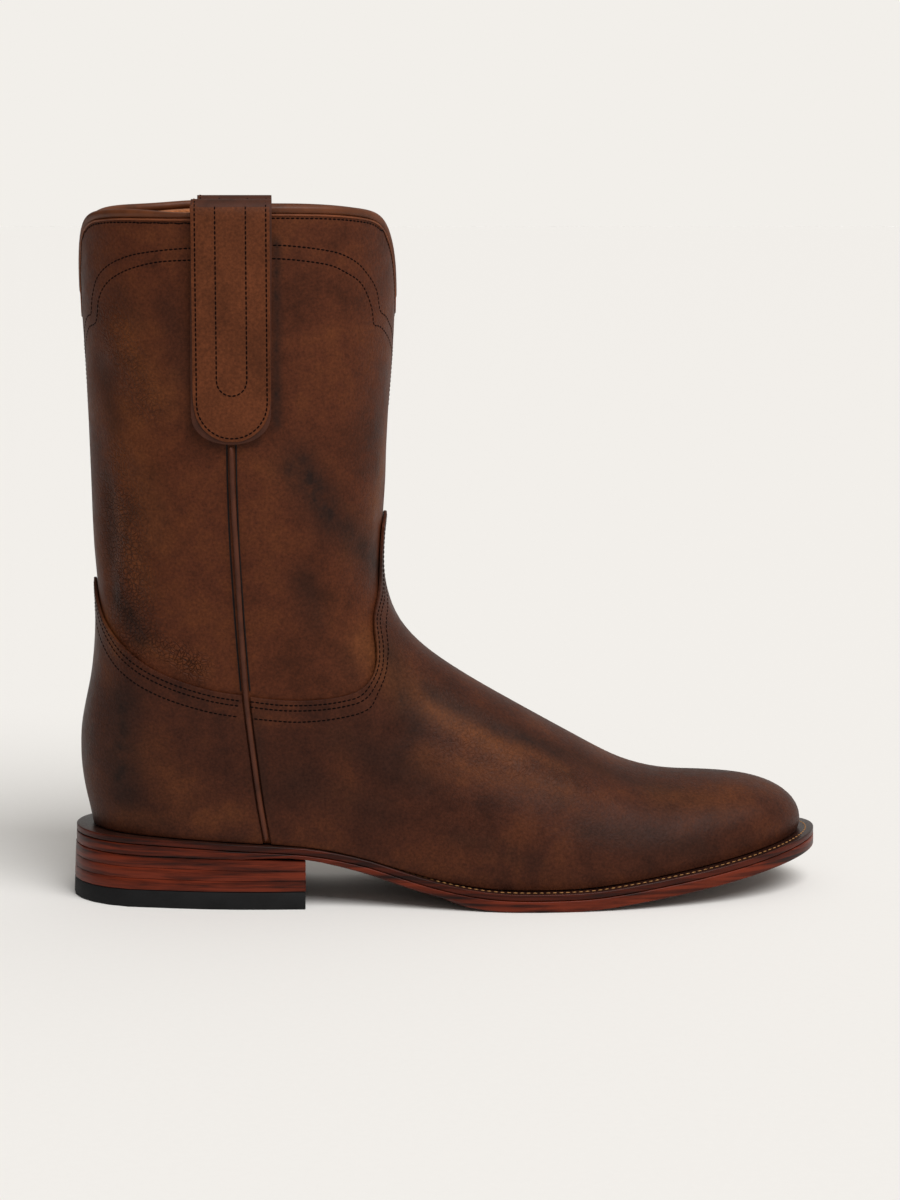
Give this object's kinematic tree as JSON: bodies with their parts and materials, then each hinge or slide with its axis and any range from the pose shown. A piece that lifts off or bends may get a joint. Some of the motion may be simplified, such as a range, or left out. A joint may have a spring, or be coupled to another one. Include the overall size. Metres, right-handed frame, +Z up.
{
  "type": "roper boot",
  "caption": "Pull-on roper boot for the right foot: hollow oiled leather upper with scalloped collar, pull straps, vamp and counter panels, on a welted leather sole with a low stacked heel",
  "frame": {"origin": "centre of the rubber heel cap's flat bottom face, on the floor", "axes": "+X from heel to toe, along the boot; +Z up the shaft; -Y the outer side of the right foot, +Y the inner side"},
  "size_m": [0.305, 0.1131, 0.282],
  "materials": {
    "outsole": "polished sole edge",
    "welt": "burnished",
    "heel_lift_1": "polished stack",
    "heel_lift_2": "polished stack",
    "heel_lift_3": "polished stack",
    "heel_cap": "matte",
    "insole": "natural",
    "upper": "oiled",
    "vamp": "oiled",
    "counter": "oiled",
    "collar_binding": "satin",
    "side_piping_outer": "satin",
    "side_piping_inner": "satin",
    "pull_strap_outer": "oiled",
    "pull_strap_inner": "oiled"
  },
  "bodies": {
    "root": {"outsole": "outsole", "welt": "welt", "heel_lift_1": "heel_lift_1", "heel_lift_2": "heel_lift_2", "heel_lift_3": "heel_lift_3", "heel_cap": "heel_cap", "insole": "insole", "upper": "upper", "vamp": "vamp", "counter": "counter", "collar_binding": "collar_binding", "side_piping_outer": "side_piping_outer", "side_piping_inner": "side_piping_inner", "pull_strap_outer": "pull_strap_outer", "pull_strap_inner": "pull_strap_inner"}
  },
  "joints": []
}
